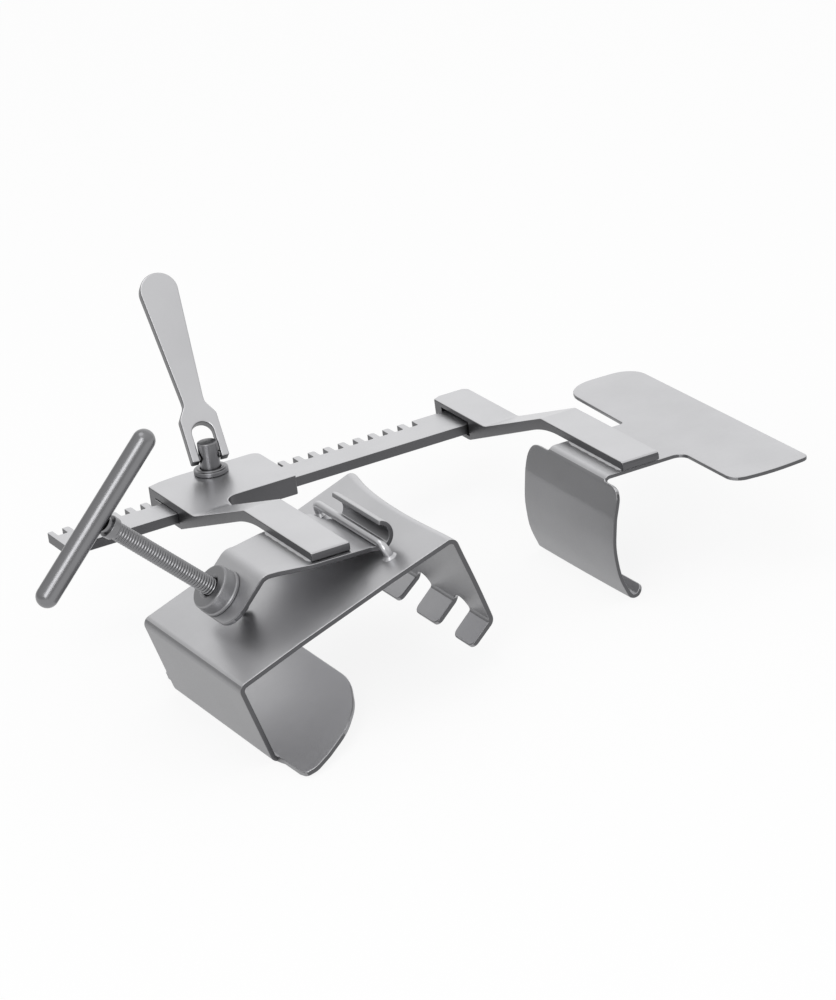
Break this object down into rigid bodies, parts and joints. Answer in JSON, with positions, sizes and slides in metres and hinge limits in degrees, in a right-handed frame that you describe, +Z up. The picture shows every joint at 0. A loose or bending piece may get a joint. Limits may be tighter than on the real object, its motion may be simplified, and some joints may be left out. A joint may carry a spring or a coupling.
{
  "type": "rib spreader",
  "caption": "Rib spreader: toothed rack with a fixed arm and blade, a crank-driven sliding arm, and a screw-tilted lift frame with a foot and a slotted hook flange.",
  "frame": {"origin": "on the ground plane below the middle of the instrument, Z up", "axes": "X along the rack, leaning down about five degrees towards the fixed arm; +Y behind the rack; arms reach towards -Y; Z up"},
  "size_m": [0.298, 0.2498, 0.1281],
  "materials": {
    "satin_steel": "satin stainless steel",
    "polished_steel": "polished, darker stainless steel"
  },
  "bodies": {
    "rack_side": {"rack_bar": "satin_steel", "fixed_arm": "satin_steel", "blade_plate": "satin_steel", "blade_seam_left": "satin_steel", "blade_seam_right": "satin_steel"},
    "slider": {"moving_arm": "satin_steel", "pinion_bush": "polished_steel", "hinge_strap": "satin_steel", "screw_boss": "satin_steel", "strap_seam_left": "satin_steel", "strap_seam_right": "satin_steel"},
    "pinion": {"crank_shaft": "polished_steel", "drive_pinion": "polished_steel", "lever_pin": "polished_steel"},
    "lever": {"lever_handle": "satin_steel"},
    "screw_thrust": {"thrust_tip": "polished_steel"},
    "screw": {"thrust_screw": "polished_steel", "screw_collar": "polished_steel", "t_bar": "polished_steel"},
    "lift": {"lift_frame": "satin_steel", "bail_rod": "polished_steel", "bail_weld_front": "satin_steel", "bail_weld_rear": "satin_steel"}
  },
  "joints": [
    {"name": "slider_slide", "type": "slide", "parent": "rack_side", "child": "slider", "axis": [0.9961, 0, -0.0881], "range_m": [-0.04, 0.038]},
    {"name": "pinion_spin", "type": "hinge", "parent": "slider", "child": "pinion", "pos_m": [-0.02058, 0.07309, 0.03945], "axis": [-0.0881, 0, -0.9961], "range_deg": [-687, 653]},
    {"name": "lever_fold", "type": "hinge", "parent": "pinion", "child": "lever", "pos_m": [-0.01964, 0.07309, 0.05011], "axis": [-0.9838, 0.1564, 0.087], "range_deg": [-92, 22]},
    {"name": "screw_advance", "type": "slide", "parent": "slider", "child": "screw_thrust", "axis": [0.65, 0, -0.7599], "range_m": [-0.0025, 0.014]},
    {"name": "screw_turn", "type": "hinge", "parent": "screw_thrust", "child": "screw", "pos_m": [-0.07633, -0.05711, 0.05215], "axis": [0.65, 0, -0.7599], "range_deg": [-722, 4034]},
    {"name": "frame_tilt", "type": "hinge", "parent": "slider", "child": "lift", "pos_m": [-0.01901, 0.04989, 0.05944], "axis": [0, -1, 0], "range_deg": [-2.7, 14.7]}
  ],
  "couplings": [
    {"joint": "pinion_spin", "follows": "slider_slide", "rad_per_m": 299.2},
    {"joint": "screw_turn", "follows": "screw_advance", "rad_per_m": 5026.5},
    {"joint": "frame_tilt", "follows": "screw_advance", "rad_per_m": 18.1}
  ]
}
